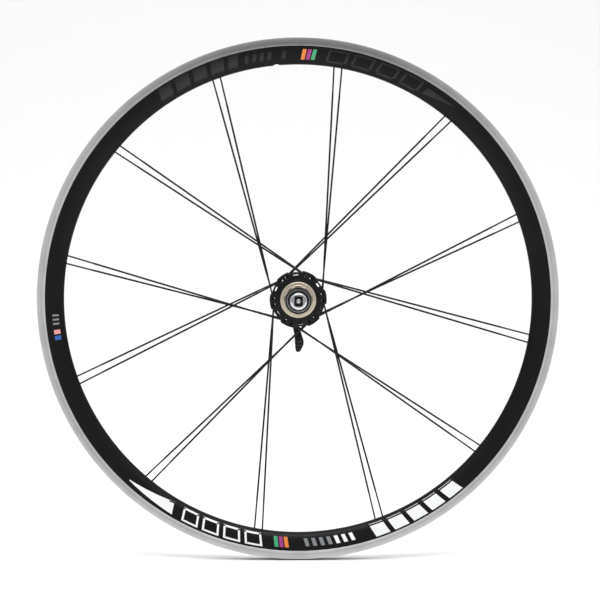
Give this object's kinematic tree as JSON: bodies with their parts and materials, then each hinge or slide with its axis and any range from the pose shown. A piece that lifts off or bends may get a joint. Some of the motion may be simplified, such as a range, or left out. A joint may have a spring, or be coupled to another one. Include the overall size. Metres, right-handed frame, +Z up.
{
  "type": "quick release rear bicycle wheel",
  "caption": "Deep-section rim-brake rear bicycle wheel with paired bladed spokes, lobed hub, splined freehub body and quick-release skewer.",
  "frame": {"origin": "middle of the axle, halfway between the two dropout faces", "axes": "+Y along the axle from the drive side to the lever side, +Z up with the valve near the top, +X to the right as seen from the drive side"},
  "size_m": [0.634, 0.198, 0.634],
  "materials": {
    "rim_black": "satin black anodised extrusion with bare machined brake tracks",
    "rim_tape_cloth": "woven cotton tape",
    "spoke_black": "black coated stainless wire, satin",
    "hub_black": "black anodised, satin",
    "freehub_titanium": "hard coated, champagne titanium tone, satin",
    "race_steel": "ground steel",
    "tool_steel": "hardened steel, satin",
    "axle_grey": "turned aluminium",
    "cap_blue_black": "blue-black anodised, satin",
    "seal_rubber": "matt moulded rubber",
    "lever_black": "black anodised, satin",
    "nut_polished": "polished",
    "insert_nylon": "moulded nylon"
  },
  "bodies": {
    "axle": {"axle": "axle_grey", "end_cap_drive": "cap_blue_black", "end_cap_left": "cap_blue_black", "preload_collar": "hub_black", "collar_screw": "tool_steel", "bearing_spacer": "tool_steel", "freehub_spacer": "tool_steel"},
    "wheel": {"rim": "rim_black", "rim_tape": "rim_tape_cloth", "spoke_drive_01": "spoke_black", "spoke_drive_02": "spoke_black", "spoke_drive_03": "spoke_black", "spoke_drive_04": "spoke_black", "spoke_drive_05": "spoke_black", "spoke_drive_06": "spoke_black", "spoke_drive_07": "spoke_black", "spoke_drive_08": "spoke_black", "spoke_drive_09": "spoke_black", "spoke_drive_10": "spoke_black", "spoke_drive_11": "spoke_black", "spoke_drive_12": "spoke_black", "spoke_left_01": "spoke_black", "spoke_left_02": "spoke_black", "spoke_left_03": "spoke_black", "spoke_left_04": "spoke_black", "spoke_left_05": "spoke_black", "spoke_left_06": "spoke_black", "spoke_left_07": "spoke_black", "spoke_left_08": "spoke_black", "spoke_left_09": "spoke_black", "spoke_left_10": "spoke_black", "spoke_left_11": "spoke_black", "spoke_left_12": "spoke_black", "hub_shell": "hub_black", "drive_ring": "tool_steel", "hub_bearing_drive": "race_steel", "hub_bearing_left": "race_steel", "left_dust_seal": "seal_rubber"},
    "freehub": {"freehub_body": "freehub_titanium", "freehub_bearing_outer": "race_steel", "freehub_bearing_inner": "race_steel", "freehub_seal": "seal_rubber", "freehub_snap_ring": "race_steel", "pawl_spring": "race_steel"},
    "pawl_1": {"pawl_1": "tool_steel"},
    "pawl_2": {"pawl_2": "tool_steel"},
    "pawl_3": {"pawl_3": "tool_steel"},
    "skewer_cap": {"skewer_cap": "hub_black", "skewer_cap_face": "tool_steel", "spring_left": "race_steel"},
    "lever": {"lever": "lever_black", "cam_shaft": "tool_steel", "lever_nut": "lever_black"},
    "skewer_rod": {"skewer_rod": "tool_steel"},
    "nut_carrier": {"spring_drive": "race_steel"},
    "nut": {"nut": "nut_polished", "nut_face": "tool_steel", "nut_insert": "insert_nylon"}
  },
  "joints": [
    {"name": "wheel_spin", "type": "hinge", "parent": "axle", "child": "wheel", "pos_m": [0, 0, 0], "axis": [0, 1, 0], "continuous": true},
    {"name": "freehub_spin", "type": "hinge", "parent": "axle", "child": "freehub", "pos_m": [0, -0.05, 0], "axis": [0, 1, 0], "continuous": true},
    {"name": "pawl_1_lift", "type": "hinge", "parent": "freehub", "child": "pawl_1", "pos_m": [-0.0075, -0.0261, 0.0112], "axis": [0, 1, 0], "range_deg": [0, 10], "stiffness_Nm_per_rad": 0.02, "springref_deg": -5.73},
    {"name": "pawl_2_lift", "type": "hinge", "parent": "freehub", "child": "pawl_2", "pos_m": [-0.00595, -0.0261, -0.01209], "axis": [0, 1, 0], "range_deg": [0, 10], "stiffness_Nm_per_rad": 0.02, "springref_deg": -5.73},
    {"name": "pawl_3_lift", "type": "hinge", "parent": "freehub", "child": "pawl_3", "pos_m": [0.01345, -0.0261, 0.00089], "axis": [0, 1, 0], "range_deg": [0, 10], "stiffness_Nm_per_rad": 0.02, "springref_deg": -5.73},
    {"name": "skewer_turn", "type": "hinge", "parent": "axle", "child": "skewer_cap", "pos_m": [0, 0.0825, 0], "axis": [0, 1, 0], "continuous": true},
    {"name": "lever_swing", "type": "hinge", "parent": "skewer_cap", "child": "lever", "pos_m": [0, 0.0948, 0], "axis": [1, 0, 0], "range_deg": [0, 180]},
    {"name": "rod_throw", "type": "slide", "parent": "skewer_cap", "child": "skewer_rod", "axis": [0, -1, 0], "range_m": [0, 0.0018]},
    {"name": "nut_travel", "type": "slide", "parent": "skewer_rod", "child": "nut_carrier", "axis": [0, 1, 0], "range_m": [-0.004, 0.0028], "deforming": ["spring_drive"]},
    {"name": "nut_turn", "type": "hinge", "parent": "nut_carrier", "child": "nut", "pos_m": [0, -0.088, 0], "axis": [0, 1, 0], "range_deg": [-1800, 1260]}
  ],
  "couplings": [
    {"joint": "lever_swing", "follows": "rod_throw", "rad_per_m": 1745.3},
    {"joint": "nut_turn", "follows": "nut_travel", "rad_per_m": 7853.9}
  ]
}
